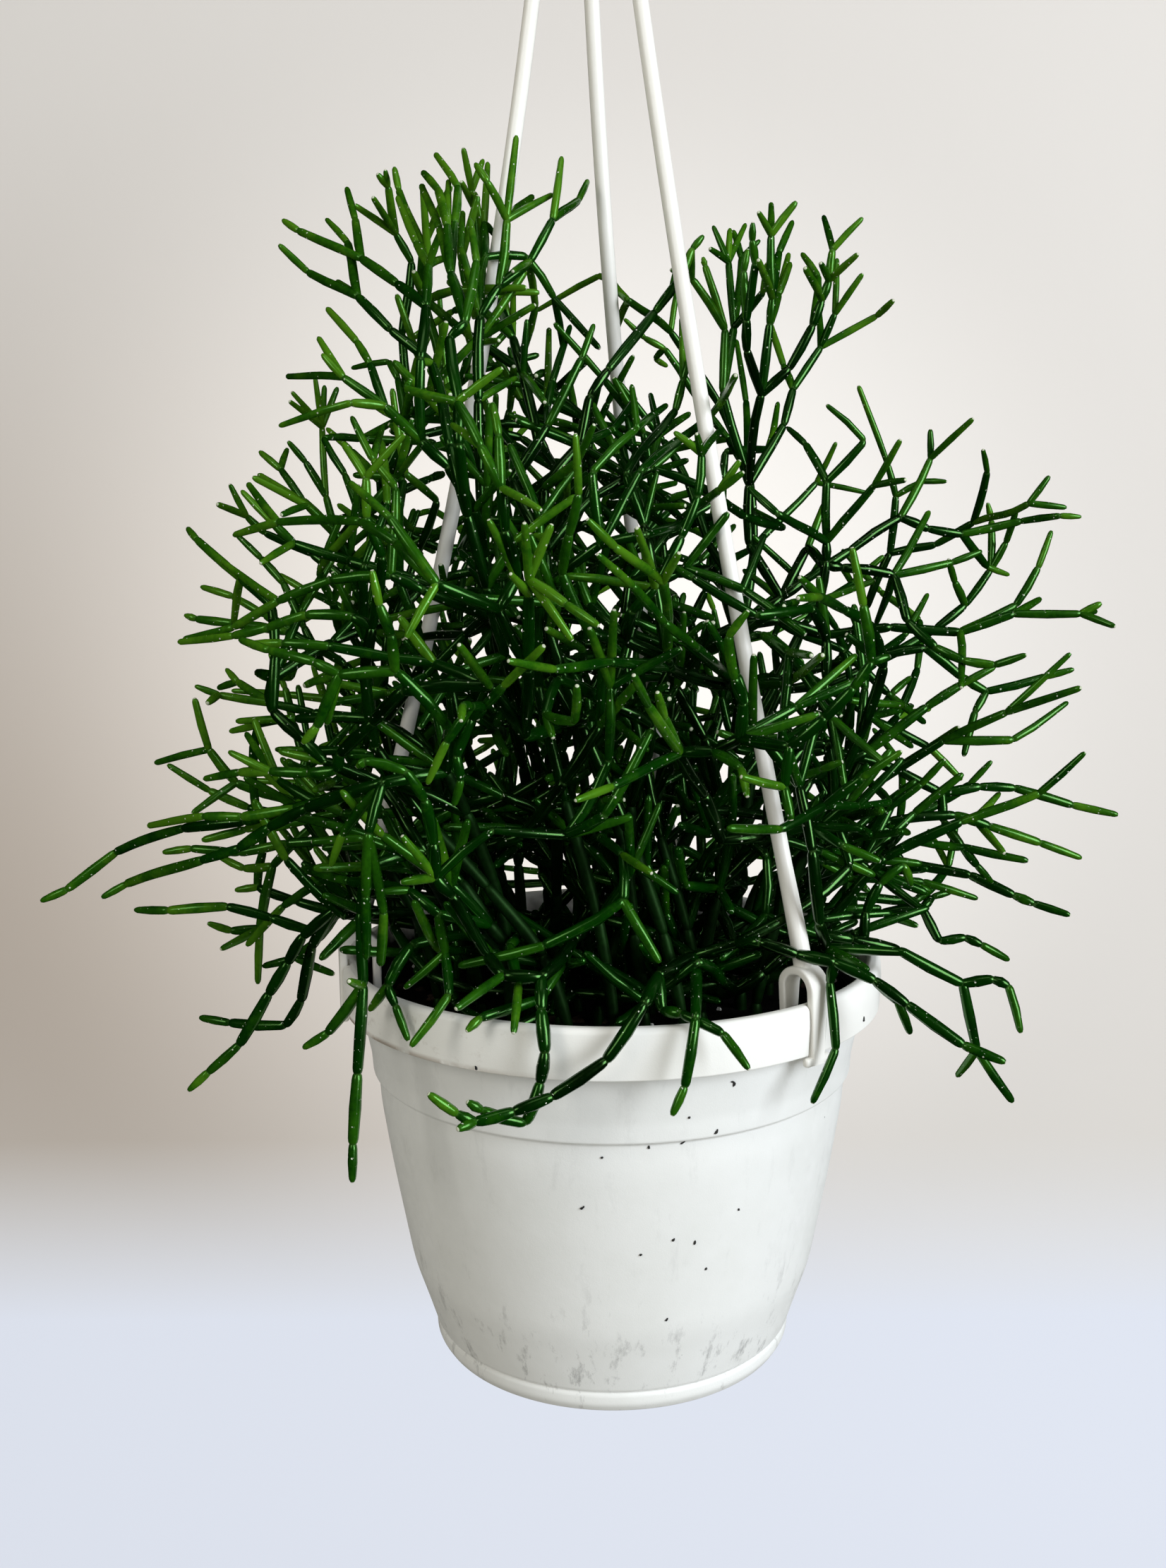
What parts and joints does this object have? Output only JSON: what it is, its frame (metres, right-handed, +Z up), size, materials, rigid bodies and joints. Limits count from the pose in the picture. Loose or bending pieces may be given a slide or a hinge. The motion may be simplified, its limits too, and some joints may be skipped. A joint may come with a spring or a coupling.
{
  "type": "dancing bones cactus",
  "caption": "Bushy jointed cactus of thin forking green stems in a filled white plastic hanging pot, held by moulded strands that clip over the rim and meet under a hook.",
  "frame": {"origin": "inner top of the hook, where the part hangs", "axes": "+Z up; -Y towards the viewer of the picture; +X to that viewer's right"},
  "size_m": [0.313, 0.2409, 0.5467],
  "materials": {
    "pot_plastic": "matte, lightly grained, worn and faintly soiled",
    "hanger_plastic": "satin",
    "potting_soil": "rough and crumbly, with white perlite and brown bark",
    "stem_green": "smooth and waxy"
  },
  "bodies": {
    "root": {"pot": "pot_plastic", "soil": "potting_soil", "hanger_hook": "hanger_plastic", "hanger_strand_back": "hanger_plastic", "hanger_strand_front_right": "hanger_plastic", "hanger_strand_left": "hanger_plastic", "stem_01": "stem_green", "stem_02": "stem_green", "stem_03": "stem_green", "stem_04": "stem_green", "stem_05": "stem_green", "stem_06": "stem_green", "stem_07": "stem_green", "stem_08": "stem_green", "stem_09": "stem_green", "stem_10": "stem_green", "stem_11": "stem_green", "stem_12": "stem_green", "stem_13": "stem_green", "stem_14": "stem_green", "stem_15": "stem_green", "stem_16": "stem_green", "stem_17": "stem_green", "stem_18": "stem_green", "stem_19": "stem_green", "stem_20": "stem_green", "stem_21": "stem_green", "stem_22": "stem_green", "stem_23": "stem_green", "stem_24": "stem_green", "stem_25": "stem_green", "stem_26": "stem_green", "stem_27": "stem_green", "stem_28": "stem_green", "stem_29": "stem_green", "stem_30": "stem_green", "stem_31": "stem_green", "stem_32": "stem_green", "stem_33": "stem_green", "stem_34": "stem_green", "stem_35": "stem_green", "stem_36": "stem_green", "stem_37": "stem_green", "stem_38": "stem_green", "stem_39": "stem_green", "stem_40": "stem_green", "stem_41": "stem_green", "stem_42": "stem_green", "stem_43": "stem_green", "stem_44": "stem_green", "stem_45": "stem_green", "stem_46": "stem_green", "stem_47": "stem_green", "stem_48": "stem_green", "stem_49": "stem_green", "stem_50": "stem_green", "stem_51": "stem_green", "stem_52": "stem_green"}
  },
  "joints": []
}
